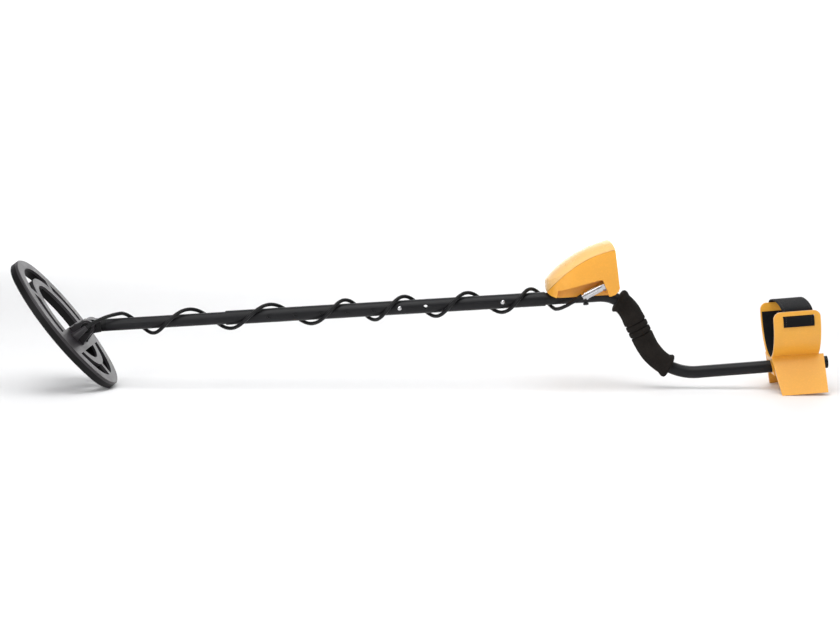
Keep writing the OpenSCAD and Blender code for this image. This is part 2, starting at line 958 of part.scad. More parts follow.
function unit(v) = v / norm(v);
function along(i) = i == 0 ? gland_way : i == last ? plug_way : unit(line[i + 1] - line[i - 1]);
function out(i) = let (r = [0, line[i][1], line[i][2]], t = along(i)) unit(r - (r * t) * t);
function corner(i, k) = line[i] + cable_r * (cos(45 * k) * out(i) + sin(45 * k) * cross(along(i), out(i)));

module coil_cable() {
    points = [for (i = [0 : last]) for (k = [0 : sides - 1]) corner(i, k)];
    walls = [for (i = [0 : last - 1]) for (k = [0 : sides - 1]) for (m = [0, 1])
        let (n = (k + 1) % sides, a = i * sides, b = a + sides)
        m == 0 ? [a + k, a + n, b + n] : [a + k, b + n, b + k]];
    ends = [[for (k = [sides - 1 : -1 : 0]) k], [for (k = [0 : sides - 1]) last * sides + k]];
    color(black) at_stem() polyhedron(points = points, faces = concat(walls, ends), convexity = 10);
}

// ---- the whole part ----

coil_bottom_shell();
coil_top_shell();
transmit_winding();
receive_winding();
coil_gland();
coil_bolt();
wing_nut();
stem_fork();
washer_near();
washer_far();
lower_tube();
lower_clip_spring();
lower_button_near();
lower_button_far();
upper_tube();
handle_tube();
handle_clip_spring();
handle_button_near();
handle_button_far();
hand_grip();
tube_end_cap();
housing_shell();
battery_cover();
box_screw();
face_panel();
lcd_window();
lcd_module();
keypad_backing();
key_power();
key_mode();
key_minus();
key_plus();
circuit_board();
speaker();
battery_tray();
cell_low_left();
cell_low_right();
cell_high_left();
cell_high_right();
contact_front();
contact_rear();
headphone_socket();
coil_socket();
plug_barrel();
plug_ring();
plug_boot();
arm_cuff();
cuff_stand();
cuff_pad();
cuff_strap();
cuff_bolt();
cuff_nut();
coil_cable();
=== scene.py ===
import json
import math

import bmesh
import bpy
from mathutils import Matrix, Vector


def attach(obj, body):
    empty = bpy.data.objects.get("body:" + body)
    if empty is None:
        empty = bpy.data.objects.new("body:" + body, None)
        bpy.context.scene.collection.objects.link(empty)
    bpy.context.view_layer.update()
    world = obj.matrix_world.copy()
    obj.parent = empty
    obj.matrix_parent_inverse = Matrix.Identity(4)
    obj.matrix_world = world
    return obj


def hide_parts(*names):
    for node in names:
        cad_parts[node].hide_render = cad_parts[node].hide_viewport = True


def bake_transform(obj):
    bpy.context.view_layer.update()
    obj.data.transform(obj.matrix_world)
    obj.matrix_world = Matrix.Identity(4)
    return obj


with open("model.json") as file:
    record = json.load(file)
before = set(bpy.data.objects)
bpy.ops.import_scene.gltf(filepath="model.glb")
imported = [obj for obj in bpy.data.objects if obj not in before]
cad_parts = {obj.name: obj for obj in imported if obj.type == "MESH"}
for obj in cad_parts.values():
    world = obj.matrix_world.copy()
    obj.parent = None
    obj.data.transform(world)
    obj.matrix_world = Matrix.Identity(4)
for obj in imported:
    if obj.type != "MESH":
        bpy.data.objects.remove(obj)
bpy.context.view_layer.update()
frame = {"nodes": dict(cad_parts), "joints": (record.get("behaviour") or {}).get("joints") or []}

nodes = frame["nodes"]
joints = {j["name"]: j for j in frame["joints"]}
mm = 0.001

# directions of the stem, from the joints
pivot = Vector(joints["coil_tilt"]["pos_m"])
stemDir = -Vector(joints["stem_slide"]["axis"]).normalized()
if stemDir.x < 0:
    stemDir = -stemDir
sideDir = Vector((0, 1, 0))
stemUp = stemDir.cross(sideDir)


def turned(vector, degrees):
    # nose-down turn about the side axis
    return Matrix.Rotation(math.radians(degrees), 3, sideDir) @ vector


def onStem(x, y, z):
    return pivot + (stemDir * x + sideDir * y + stemUp * z) * mm


# camera and lights
cameraSetting = {"place": (0.044, -2.686, 0.466), "lookAt": (0.0, 0.0, 0.1076), "lens": 79.4, "film": 36}
camera = bpy.data.cameras.new("Camera")
camera.lens = cameraSetting["lens"]
camera.sensor_width = cameraSetting["film"]
camera.clip_end = 50
cameraObject = bpy.data.objects.new("Camera", camera)
cameraObject.location = cameraSetting["place"]
look = Vector(cameraSetting["lookAt"]) - Vector(cameraSetting["place"])
cameraObject.rotation_euler = look.to_track_quat("-Z", "Y").to_euler()
bpy.context.scene.collection.objects.link(cameraObject)
bpy.context.scene.camera = cameraObject

lightSetting = {
    "overhead": {"at": (0.1, -0.7, 2.4), "aim": (0, 0, 0.1), "size": 2.4, "power": 56},
    "front": {"at": (-1.6, -2.6, 1.5), "aim": (0, 0, 0.1), "size": 1.2, "power": 30},
    "behind": {"at": (1.0, 2.4, 1.6), "aim": (0, 0, 0.1), "size": 1.6, "power": 18},
    "backdrop": {"at": (0, 3.4, 3.2), "aim": (0, 7.5, 1.0), "size": 3.0, "power": 420},
    "farFloor": {"at": (0, 4.2, 3.4), "aim": (0, 4.6, 0), "size": 3.2, "power": 170, "spread": 80},
}
for lightName, setting in lightSetting.items():
    light = bpy.data.lights.new(lightName, "AREA")
    light.shape, light.size, light.energy = "SQUARE", setting["size"], setting["power"]
    light.spread = math.radians(setting.get("spread", 180))
    lightObject = bpy.data.objects.new(lightName, light)
    lightObject.location = setting["at"]
    aim = Vector(setting["aim"]) - Vector(setting["at"])
    lightObject.rotation_euler = aim.to_track_quat("-Z", "Y").to_euler()
    bpy.context.scene.collection.objects.link(lightObject)

world = bpy.data.worlds.new("Studio")
world.use_nodes = True
world.node_tree.nodes["Background"].inputs["Color"].default_value = (0.97, 0.98, 1, 1)
world.node_tree.nodes["Background"].inputs["Strength"].default_value = 0.34
bpy.context.scene.world = world
bpy.context.scene.view_settings.view_transform = "Standard"
print("camera and lights ready")


class Wire:
    # a socket that can be added and multiplied like a number
    def __init__(self, tree, socket):
        self.tree, self.socket = tree, socket

    def sum(self, operation, a, b=None):
        node = self.tree.nodes.new("ShaderNodeMath")
        node.operation = operation
        for place, value in enumerate((a, b)):
            if isinstance(value, Wire):
                self.tree.links.new(value.socket, node.inputs[place])
            elif value is not None:
                node.inputs[place].default_value = value
        return Wire(self.tree, node.outputs[0])

    def __add__(self, other): return self.sum("ADD", self, other)
    def __radd__(self, other): return self.sum("ADD", other, self)
    def __sub__(self, other): return self.sum("SUBTRACT", self, other)
    def __mul__(self, other): return self.sum("MULTIPLY", self, other)
    def wave(self): return self.sum("SINE", self)

    def between(self, low, high):
        # 0 below low, 1 above high, eased between them
        node = self.tree.nodes.new("ShaderNodeMapRange")
        node.interpolation_type = "SMOOTHSTEP"
        node.inputs["From Min"].default_value = low
        node.inputs["From Max"].default_value = high
        self.tree.links.new(self.socket, node.inputs["Value"])
        return Wire(self.tree, node.outputs[0])


class Finish:
    # a material with its shader, and a method for each kind of texture
    def __init__(self, name, **fixed):
        self.material = bpy.data.materials.new(name)
        self.material.use_nodes = True
        self.tree = self.material.node_tree
        self.shader = self.tree.nodes["Principled BSDF"]
        for socket, value in fixed.items():
            self.shader.inputs[socket.replace("_", " ")].default_value = value
        self.place = self.node("ShaderNodeTexCoord", output="Object")

    def node(self, kind, settings=None, output=0, **values):
        node = self.tree.nodes.new(kind)
        for name, value in (settings or {}).items():
            setattr(node, name, value)
        for name, value in values.items():
            socket = node.inputs[name.replace("_", " ")]
            if isinstance(value, Wire):
                self.tree.links.new(value.socket, socket)
            else:
                socket.default_value = value
        return Wire(self.tree, node.outputs[output])

    def noise(self, scale, detail=3, rough=0.5, place=None):
        return self.node("ShaderNodeTexNoise", Vector=place or self.place, Scale=scale,
            Detail=detail, Roughness=rough)

    def cells(self, scale, feature="F1"):
        return self.node("ShaderNodeTexVoronoi", {"feature": feature}, Vector=self.place, Scale=scale)

    def stretched(self, x, y, z, turn=0.0):
        # object coordinates turned about Y, then scaled
        return self.node("ShaderNodeMapping", {"vector_type": "POINT"}, Vector=self.place,
            Rotation=(0, turn, 0), Scale=(x, y, z))

    def blend(self, factor, a, b):
        node = self.tree.nodes.new("ShaderNodeMix")
        node.data_type = "RGBA"
        for socket, value in ((node.inputs[0], factor), (node.inputs[6], a), (node.inputs[7], b)):
            if isinstance(value, Wire):
                self.tree.links.new(value.socket, socket)
            elif isinstance(value, tuple):
                socket.default_value = (*value, 1)
            else:
                socket.default_value = value
        return Wire(self.tree, node.outputs[2])

    def put(self, socket, wire):
        self.tree.links.new(wire.socket, self.shader.inputs[socket])

    def bump(self, height, depth, strength=1.0):
        # depth in metres at full height
        self.put("Normal", self.node("ShaderNodeBump", Height=height, Distance=depth, Strength=strength))


def mouldedPlastic(name, colour, grain=1500, depth=0.00005, rough=0.4, mottle=0.12, coat=0.0, gloss=0.45):
    f = Finish(name, Specular_IOR_Level=gloss, Coat_Weight=coat, Coat_Roughness=0.25)
    drift = f.noise(9, 2)
    specks = f.noise(420, 2)
    darker = tuple(c * (1 - mottle) for c in colour)
    lighter = tuple(min(1, c * (1 + mottle * 0.5)) for c in colour)
    shade = drift.between(0.3, 0.7) * 0.7 + specks.between(0.45, 0.75) * 0.3
    f.put("Base Color", f.blend(shade, darker, lighter))
    handled = f.noise(28, 4, 0.6).between(0.4, 0.7)
    f.put("Roughness", rough + handled * 0.09 - specks * 0.05)
    texture = f.noise(grain, 2, 0.6)
    f.bump(texture + f.noise(60, 2) * 0.6, depth)
    return f.material


def paintedTube(name, colour, turn):
    f = Finish(name, Specular_IOR_Level=0.2, Coat_Weight=0.06, Coat_Roughness=0.3)
    peel = f.noise(380, 2)
    along = f.stretched(14, 900, 900, turn)
    scratch = f.noise(1, 4, 0.65, along).between(0.62, 0.72)
    f.put("Base Color", f.blend(scratch * 0.35 + f.noise(12) * 0.15, colour, (0.05, 0.05, 0.053)))
    f.put("Roughness", 0.36 + peel * 0.1 + scratch * 0.15)
    f.bump(peel - scratch * 0.4, 0.00004)
    return f.material


def plainMetal(name, colour, rough, stretch=None, wear=0.05, depth=0.00001):
    f = Finish(name, Metallic=1.0)
    lines = f.noise(1, 3, 0.6, f.stretched(*stretch)) if stretch else f.noise(700, 3)
    dull = tuple(c * 0.86 for c in colour)
    f.put("Base Color", f.blend(f.noise(60, 3).between(0.35, 0.75), colour, dull))
    f.put("Roughness", rough + lines * wear + f.noise(90, 4).between(0.5, 0.8) * 0.08)
    f.bump(lines, depth)
    return f.material


def closedFoam(name, colour):
    f = Finish(name, Specular_IOR_Level=0.08, Sheen_Weight=0.02, Sheen_Roughness=0.6)
    pores = f.cells(950)
    fine = f.noise(1700, 2)
    worn = f.noise(30, 4, 0.6).between(0.42, 0.68)
    f.put("Base Color", f.blend(pores.between(0.15, 0.6) * 0.6 + worn * 0.4, tuple(c * 0.6 for c in colour),
        tuple(c * 1.5 for c in colour)))
    f.put("Roughness", 0.86 + fine * 0.1)
    f.bump(pores * 0.7 + fine * 0.5 + f.noise(160, 2) * 0.8, 0.00022)
    return f.material


def softRubber(name, colour, rough=0.62, grain=900, depth=0.00005):
    f = Finish(name, Specular_IOR_Level=0.25)
    dust = f.noise(35, 4, 0.65).between(0.5, 0.75)
    f.put("Base Color", f.blend(dust * 0.5, colour, tuple(c + 0.012 for c in colour)))
    f.put("Roughness", rough + f.noise(300, 2) * 0.12)
    f.bump(f.noise(grain, 3), depth)
    return f.material


def wovenBand(name, colour, warpPitch=0.0011, weftPitch=0.0016):
    # threads spaced in metres on the band's own UV map
    f = Finish(name, Specular_IOR_Level=0.1, Sheen_Weight=0.03, Sheen_Roughness=0.5)
    uv = f.node("ShaderNodeUVMap", {"uv_map": "UVMap"})
    axes = f.tree.nodes.new("ShaderNodeSeparateXYZ")
    f.tree.links.new(uv.socket, axes.inputs[0])
    along, acrossBand = Wire(f.tree, axes.outputs[0]), Wire(f.tree, axes.outputs[1])
    warp = (acrossBand * (2 * math.pi / warpPitch)).wave()
    weft = (along * (2 * math.pi / weftPitch)).wave()
    loops = f.cells(1500)
    weave = (warp * weft) * 0.5 + 0.5
    darker, lighter = tuple(c * 0.55 for c in colour), tuple(c * 1.7 for c in colour)
    f.put("Base Color", f.blend(weave * 0.5 + loops * 0.5, darker, lighter))
    f.put("Roughness", 0.82 + loops * 0.12)
    f.bump(weave * 0.8 + loops * 0.6 + f.noise(90, 2) * 0.5, 0.0002)
    return f.material


def clearWindow(name):
    f = Finish(name, Base_Color=(0.78, 0.83, 0.80, 1), Transmission_Weight=1.0, IOR=1.49)
    f.put("Roughness", 0.03 + f.noise(40, 3).between(0.45, 0.8) * 0.06)
    f.bump(f.noise(30, 2), 0.00001)
    return f.material


def displayFace(name):
    f = Finish(name, Specular_IOR_Level=0.4)
    f.put("Base Color", f.blend(f.noise(14, 2).between(0.3, 0.7), (0.40, 0.46, 0.36), (0.45, 0.51, 0.40)))
    f.put("Roughness", 0.32 + f.noise(500, 2) * 0.1)
    f.bump(f.noise(800, 2), 0.00001)
    return f.material


def boardResist(name):
    f = Finish(name, Specular_IOR_Level=0.5)
    tracks = f.cells(160, "DISTANCE_TO_EDGE").between(0.0, 0.08)
    f.put("Base Color", f.blend(tracks, (0.03, 0.11, 0.05), (0.015, 0.19, 0.07)))
    f.put("Roughness", 0.3 + f.noise(300) * 0.12)
    f.bump(tracks, 0.00004)
    return f.material


def cellWrap(name):
    f = Finish(name, Specular_IOR_Level=0.5, Coat_Weight=0.5, Coat_Roughness=0.1)
    f.put("Base Color", f.blend(f.noise(30, 2).between(0.4, 0.6), (0.05, 0.07, 0.18), (0.07, 0.09, 0.24)))
    f.put("Roughness", 0.22 + f.noise(200) * 0.1)
    f.bump(f.noise(250, 2), 0.00002)
    return f.material


def paleFloor(name):
    f = Finish(name, Specular_IOR_Level=0.2)
    f.put("Base Color", f.blend(f.noise(3, 2), (0.86, 0.86, 0.865), (0.9, 0.9, 0.9)))
    f.put("Roughness", 0.7 + f.noise(20) * 0.1)
    return f.material


stemTurn = math.asin(stemDir.z)
finishes = {
    "yellow": mouldedPlastic("yellowBoxPlastic", (0.93, 0.42, 0.045), rough=0.33, coat=0.15),
    # the battery cover on top is a paler copy of the box yellow: painted highlight of the light falling on
    # the top
    "cover": mouldedPlastic("yellowCoverPaintedHighlight", (0.95, 0.56, 0.19), rough=0.28, coat=0.5),
    "cuff": mouldedPlastic("yellowCuffPlastic", (0.93, 0.44, 0.05), rough=0.34, coat=0.15),
    "coilLower": mouldedPlastic("blackCoilPlastic", (0.005, 0.0045, 0.005), grain=1100, depth=0.00006,
        rough=0.42, gloss=0.16),
    "coilUpper": mouldedPlastic("greyBlackCoilPlastic", (0.028, 0.025, 0.028), grain=1100, depth=0.00006,
        rough=0.4, gloss=0.38),
    "blackPlastic": mouldedPlastic("blackHardware", (0.005, 0.005, 0.0055), grain=1300,
        rough=0.36, gloss=0.2),
    "panel": mouldedPlastic("blackPanel", (0.012, 0.012, 0.014), grain=1600, rough=0.36, gloss=0.35),
    "tube": paintedTube("blackTubePaint", (0.005, 0.005, 0.006), stemTurn),
    "steel": plainMetal("buttonSteel", (0.62, 0.62, 0.63), 0.2),
    "spring": plainMetal("springSteel", (0.48, 0.48, 0.5), 0.3),
    "blackened": plainMetal("blackenedScrew", (0.05, 0.05, 0.052), 0.36),
    "chrome": plainMetal("plugChrome", (0.6, 0.6, 0.62), 0.15),
    "copper": plainMetal("windingCopper", (0.72, 0.36, 0.18), 0.32, (80, 80, 2600)),
    "foam": closedFoam("gripFoam", (0.0125, 0.0105, 0.0092)),
    "pad": closedFoam("cuffFoam", (0.006, 0.006, 0.0065)),
    "rubber": softRubber("blackRubber", (0.006, 0.006, 0.006)),
    "cable": softRubber("cableJacket", (0.005, 0.005, 0.0055), 0.38, 500, 0.00003),
    "keys": softRubber("greyKeyRubber", (0.26, 0.26, 0.27), 0.55),
    "strap": wovenBand("strapPile", (0.008, 0.008, 0.009)),
    "stitch": softRubber("stitchThread", (0.05, 0.05, 0.053), 0.7),
    "mark": softRubber("paleKeyMark", (0.8, 0.8, 0.78), 0.5),
    "segment": softRubber("darkSegment", (0.03, 0.035, 0.03), 0.4),
    "window": clearWindow("displayWindow"),
    "display": displayFace("displayGlass"),
    "board": boardResist("boardResist"),
    "cell": cellWrap("cellWrap"),
    "floor": paleFloor("studioFloor"),
}
print("finishes ready:", len(finishes))


# finish of each CAD node, and how wide its edges are rounded in mm
nodeFinish = {
    "coil_bottom_shell": ("coilLower", 0.9), "coil_top_shell": ("coilUpper", 0.8),
    "transmit_winding": ("copper", 0), "receive_winding": ("copper", 0), "coil_gland": ("coilUpper", 0.5),
    "coil_bolt": ("blackPlastic", 0.8), "wing_nut": ("blackPlastic", 1.0),
    "stem_fork": ("blackPlastic", 0.6),
    "washer_near": ("rubber", 0.2), "washer_far": ("rubber", 0.2), "lower_tube": ("tube", 0),
    "lower_clip_spring": ("spring", 0), "lower_button_near": ("steel", 0), "lower_button_far": ("steel", 0),
    "upper_tube": ("tube", 0.25), "handle_tube": ("tube", 0), "handle_clip_spring": ("spring", 0),
    "handle_button_near": ("steel", 0), "handle_button_far": ("steel", 0),
    "tube_end_cap": ("blackPlastic", 0.6),
    "housing_shell": ("yellow", 0.7), "battery_cover": ("cover", 0.7), "box_screw": ("blackened", 0.4),
    "face_panel": ("panel", 0.25), "lcd_window": ("window", 0), "lcd_module": ("display", 0),
    "keypad_backing": ("keys", 0), "key_power": ("keys", 0.3), "key_mode": ("keys", 0.3),
    "key_minus": ("keys", 0.3), "key_plus": ("keys", 0.3), "circuit_board": ("board", 0),
    "speaker": ("panel", 0), "battery_tray": ("panel", 0), "cell_low_left": ("cell", 0.5),
    "cell_low_right": ("cell", 0.5), "cell_high_left": ("cell", 0.5), "cell_high_right": ("cell", 0.5),
    "contact_front": ("spring", 0), "contact_rear": ("spring", 0), "headphone_socket": ("panel", 0.3),
    "coil_socket": ("chrome", 0.3), "plug_barrel": ("chrome", 0.25), "plug_ring": ("chrome", 0.25),
    "plug_boot": ("rubber", 0.4), "arm_cuff": ("cuff", 0.9), "cuff_stand": ("cuff", 0.9),
    "cuff_bolt": ("spring", 0.3), "cuff_nut": ("spring", 0.3),
}


def roundEdges(thing, width):
    weld = thing.modifiers.new("Weld", "WELD")
    weld.merge_threshold = 0.000002
    flat = thing.modifiers.new("Flat faces", "DECIMATE")
    flat.decimate_type, flat.angle_limit = "DISSOLVE", math.radians(0.4)
    bevel = thing.modifiers.new("Bevel", "BEVEL")
    bevel.width, bevel.segments = width * mm, 2
    bevel.limit_method, bevel.angle_limit = "ANGLE", math.radians(32)
    bevel.use_clamp_overlap = True
    normals = thing.modifiers.new("Normals", "WEIGHTED_NORMAL")
    normals.keep_sharp = True


for name, (finish, width) in nodeFinish.items():
    thing = nodes[name]
    thing.data.materials.clear()
    thing.data.materials.append(finishes[finish])
    if width:
        roundEdges(thing, width)
print("CAD nodes finished:", len(nodeFinish))


def newPiece(name, points, faces, finish, smooth=True):
    mesh = bpy.data.meshes.new(name)
    mesh.from_pydata([tuple(p) for p in points], [], faces)
    mesh.validate()
    if smooth:
        mesh.polygons.foreach_set("use_smooth", [True] * len(mesh.polygons))
    mesh.materials.append(finishes[finish])
    piece = bpy.data.objects.new(name, mesh)
    bpy.context.scene.collection.objects.link(piece)
    return piece


def outward(piece):
    shape = bmesh.new()
    shape.from_mesh(piece.data)
    bmesh.ops.remove_doubles(shape, verts=shape.verts, dist=1e-6)
    bmesh.ops.recalc_face_normals(shape, faces=shape.faces)
    shape.to_mesh(piece.data)
    shape.free()
    return piece


def smoothCurve(points, steps):
    # a curve through all the points, with steps between each two
    ends = [points[0] * 2 - points[1], *points, points[-1] * 2 - points[-2]]
    out = []
    for a, b, c, d in zip(ends, ends[1:], ends[2:], ends[3:]):
        for i in range(steps):
            t = i / steps
            out.append(0.5 * (2 * b + (c - a) * t + (2 * a - 5 * b + 4 * c - d) * t ** 2
                + (3 * b - a - 3 * c + d) * t ** 3))
    return out + [points[-1]]


def pathTree(name, material):
    # a round tube along a path
    tree = bpy.data.node_groups.new(name, "GeometryNodeTree")
    face = tree.interface
    face.new_socket("Path", in_out="INPUT", socket_type="NodeSocketGeometry")
    face.new_socket("Radius", in_out="INPUT", socket_type="NodeSocketFloat")
    face.new_socket("Sides", in_out="INPUT", socket_type="NodeSocketInt")
    face.new_socket("Tube", in_out="OUTPUT", socket_type="NodeSocketGeometry")
    make = tree.nodes.new
    start, end = make("NodeGroupInput"), make("NodeGroupOutput")
    toCurve, circle = make("GeometryNodeMeshToCurve"), make("GeometryNodeCurvePrimitiveCircle")
    sweep, smooth = make("GeometryNodeCurveToMesh"), make("GeometryNodeSetShadeSmooth")
    real, paint = make("GeometryNodeRealizeInstances"), make("GeometryNodeSetMaterial")
    sweep.inputs["Fill Caps"].default_value = True
    paint.inputs["Material"].default_value = material
    link = tree.links.new
    link(start.outputs["Path"], toCurve.inputs[0])
    link(start.outputs["Radius"], circle.inputs["Radius"])
    link(start.outputs["Sides"], circle.inputs["Resolution"])
    link(toCurve.outputs[0], sweep.inputs["Curve"])
    link(circle.outputs[0], sweep.inputs["Profile Curve"])
    link(sweep.outputs[0], smooth.inputs[0])
    link(smooth.outputs[0], real.inputs[0])
    link(real.outputs[0], paint.inputs[0])
    link(paint.outputs[0], end.inputs[0])
    return tree


def stitchTree(name, material):
    # small rounded stitches, evenly spaced on a path
    tree = bpy.data.node_groups.new(name, "GeometryNodeTree")
    face = tree.interface
    face.new_socket("Path", in_out="INPUT", socket_type="NodeSocketGeometry")
    face.new_socket("Spacing", in_out="INPUT", socket_type="NodeSocketFloat")
    face.new_socket("Thickness", in_out="INPUT", socket_type="NodeSocketFloat")
    face.new_socket("Stitches", in_out="OUTPUT", socket_type="NodeSocketGeometry")
    make = tree.nodes.new
    start, end = make("NodeGroupInput"), make("NodeGroupOutput")
    toCurve, even = make("GeometryNodeMeshToCurve"), make("GeometryNodeResampleCurve")
    even.mode = "LENGTH"
    stitch, place = make("GeometryNodeMeshUVSphere"), make("GeometryNodeInstanceOnPoints")
    tangent, align = make("GeometryNodeInputTangent"), make("FunctionNodeAlignEulerToVector")
    align.axis = "Z"
    long = make("ShaderNodeCombineXYZ")
    real, paint = make("GeometryNodeRealizeInstances"), make("GeometryNodeSetMaterial")
    smooth = make("GeometryNodeSetShadeSmooth")
    stitch.inputs["Segments"].default_value = 6
    stitch.inputs["Rings"].default_value = 4
    long.inputs[0].default_value = long.inputs[1].default_value = 1
    long.inputs[2].default_value = 3.2
    paint.inputs["Material"].default_value = material
    link = tree.links.new
    link(start.outputs["Path"], toCurve.inputs[0])
    link(toCurve.outputs[0], even.inputs["Curve"])
    link(start.outputs["Spacing"], even.inputs["Length"])
    link(start.outputs["Thickness"], stitch.inputs["Radius"])
    link(even.outputs[0], place.inputs["Points"])
    link(stitch.outputs[0], place.inputs["Instance"])
    link(tangent.outputs[0], align.inputs["Vector"])
    link(align.outputs[0], place.inputs["Rotation"])
    link(long.outputs[0], place.inputs["Scale"])
    link(place.outputs[0], smooth.inputs[0])
    link(smooth.outputs[0], real.inputs[0])
    link(real.outputs[0], paint.inputs[0])
    link(paint.outputs[0], end.inputs[0])
    return tree


def grown(name, lines, tree, values):
    # the tree's result on some open lines, as a plain mesh
    points, edges = [], []
    for line in lines:
        edges += [(len(points) + i, len(points) + i + 1) for i in range(len(line) - 1)]
        points += [tuple(p) for p in line]
    mesh = bpy.data.meshes.new(name + "Path")
    mesh.from_pydata(points, edges, [])
    path = bpy.data.objects.new(name + "Path", mesh)
    bpy.context.scene.collection.objects.link(path)
    modifier = path.modifiers.new("Grow", "NODES")
    modifier.node_group = tree
    sockets = {s.name: s.identifier for s in tree.interface.items_tree if s.in_out == "INPUT"}
    for key, value in values.items():
        modifier[sockets[key]] = value
    made = bpy.data.meshes.new_from_object(path.evaluated_get(bpy.context.evaluated_depsgraph_get()))
    made.name = name
    bpy.data.objects.remove(path)
    piece = bpy.data.objects.new(name, made)
    bpy.context.scene.collection.objects.link(piece)
    return piece


# coil cable, in mm on the stem; turns pair a turn number with its place along the stem
cable = {
    "radius": 2.7, "windRadius": 15.8, "sides": 18,
    "turns": [(0.25, 44), (1, 117), (2, 236), (3, 355), (4, 440), (5, 531), (6, 629), (6.75, 687)],
    "coilAngle": 52.3, "glandSide": -31.2, "glandTop": 3.0,
    "plug": (722.3, -32, 3.5), "plugAngle": 24.4, "bootInside": 6,
    "splitAt": 0.62,  # turn where the front piece meets the rear piece
    "perTurn": 32, "leadSteps": 24,
    "inGland": 2, "outOfGland": 22, "ontoStem": (11, 11.4, 0),  # how the front lead bends
    "offStem": (8, -9.5, 0), "outOfPlug": 18,  # how the rear lead bends
}
firstTurn, lastTurn = cable["turns"][0][0], cable["turns"][-1][0]


def alongStem(turn):
    table = cable["turns"]
    for (a, xa), (b, xb) in zip(table, table[1:]):
        if turn <= b:
            return xa + (xb - xa) * (turn - a) / (b - a)
    return table[-1][1]


def windSpot(turn):
    angle = 2 * math.pi * turn
    # the pitch is averaged over a quarter turn, so that it changes gently
    spread = [min(max(turn + d, firstTurn), lastTurn) for d in (-0.12, -0.06, 0, 0.06, 0.12)]
    x = sum(alongStem(t) for t in spread) / 5
    return Vector((x, -cable["windRadius"] * math.cos(angle), cable["windRadius"] * math.sin(angle)))


def bow(a, b, c, d, t):
    # a curve from a to d that leaves towards b and arrives from c
    return a * (1 - t) ** 3 + 3 * b * t * (1 - t) ** 2 + 3 * c * t * t * (1 - t) + d * t ** 3


fold = math.radians(cable["coilAngle"]) + stemTurn
glandWay = Vector((math.sin(fold), 0, math.cos(fold)))
glandEnd = Vector((0, cable["glandSide"], 0)) + glandWay * cable["glandTop"]
plugTurn = math.radians(cable["plugAngle"])
plugWay = Vector((math.cos(plugTurn), 0, math.sin(plugTurn)))
plugEnd = Vector(cable["plug"]) - plugWay * cable["bootInside"]
firstSpot, lastSpot = windSpot(firstTurn), windSpot(lastTurn)
steps, perTurn = cable["leadSteps"], cable["perTurn"]
leadEnds = (glandEnd - glandWay * cable["inGland"], glandEnd + glandWay * cable["outOfGland"],
    firstSpot - Vector(cable["ontoStem"]), firstSpot)
tailEnds = (lastSpot, lastSpot + Vector(cable["offStem"]), plugEnd - plugWay * cable["outOfPlug"], plugEnd)
lead = [bow(*leadEnds, i / steps) for i in range(steps)]
tail = [bow(*tailEnds, i / steps) for i in range(1, steps + 1)]
frontTurns = round((cable["splitAt"] - firstTurn) * perTurn)
allTurns = round((lastTurn - firstTurn) * perTurn)
wound = [windSpot(firstTurn + i / perTurn) for i in range(allTurns + 1)]
frontLine = [onStem(*p) for p in lead + wound[:frontTurns + 1]]
rearLine = [onStem(*p) for p in wound[frontTurns:] + tail]
tubeAlong = pathTree("tubeAlongPath", finishes["cable"])
size = {"Radius": cable["radius"] * mm, "Sides": cable["sides"]}
cableFront = outward(grown("coilCableFront", [frontLine], tubeAlong, size))
cableRear = outward(grown("coilCableRear", [rearLine], tubeAlong, size))
for piece in (cableFront, cableRear):
    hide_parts("coil_cable")
tuple(onStem(0, -30, 3))
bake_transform(cableFront)
tuple(onStem(640, 0, 0))
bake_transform(cableRear)
print("coil cable ready")


# foam grip, round the tube's two bends
grip = {
    "corner": 781, "turn": 66.5, "bendFirst": 50, "bendSecond": 79, "rearAngle": 4.7, "standDepth": 34.5,
    "cuffFront": 166, "bore": 9.1, "firstFrom": 32.0, "secondTo": 30.5,
    # place along the foam in mm from its front end, radius there
    "front": [(0, 12.5), (0.6, 15.9), (2.2, 17.8), (4.2, 18.2), (6.2, 17.6), (8.2, 16.2), (10.5, 15.4),
        (15, 15.4), (24, 15.7), (32, 15.9)],
    "grooveFrom": 23.6, "groovePitch": 9.4, "grooveDepth": 2.4, "grooveHalf": 0.7, "ridge": 16.5,
    # the same from the rear end
    "rear": [(44, 15.9), (34, 15.9), (24, 15.6), (13, 15.3), (9.6, 15.5), (7.4, 16.6), (5.2, 17.7),
        (3.2, 17.8), (1.4, 17.2), (0.5, 15.4), (0, 12.5)],
    "ringStep": 2.5, "boreRings": 30,
    "sides": 64,
}
stemAngle = math.degrees(stemTurn)
gripAngle = grip["turn"] - stemAngle
rearSlope = math.radians(grip["rearAngle"])
cornerZ = grip["standDepth"] * math.cos(rearSlope) - grip["cuffFront"] * math.sin(rearSlope)
gripRun = (pivot.z / mm + grip["corner"] * math.sin(stemTurn) - cornerZ) / math.sin(math.radians(gripAngle))
rearTurn = gripAngle + grip["rearAngle"]
runFirst = grip["bendFirst"] * math.tan(math.radians(grip["turn"] / 2))
runSecond = grip["bendSecond"] * math.tan(math.radians(rearTurn / 2))
firstCorner = onStem(grip["corner"], 0, 0)
gripDir = turned(stemDir, grip["turn"])
secondCorner = firstCorner + gripDir * gripRun * mm
rearDir = turned(gripDir, -rearTurn)
rearUp = rearDir.cross(sideDir)


def onRear(x, y, z):
    return secondCorner + (rearDir * x + sideDir * y + rearUp * z) * mm


arcFirst = math.radians(grip["turn"] - grip["firstFrom"]) * grip["bendFirst"]
straight = gripRun - runFirst - runSecond
arcSecond = math.radians(rearTurn - grip["secondTo"]) * grip["bendSecond"]
foamLong = arcFirst + straight + arcSecond


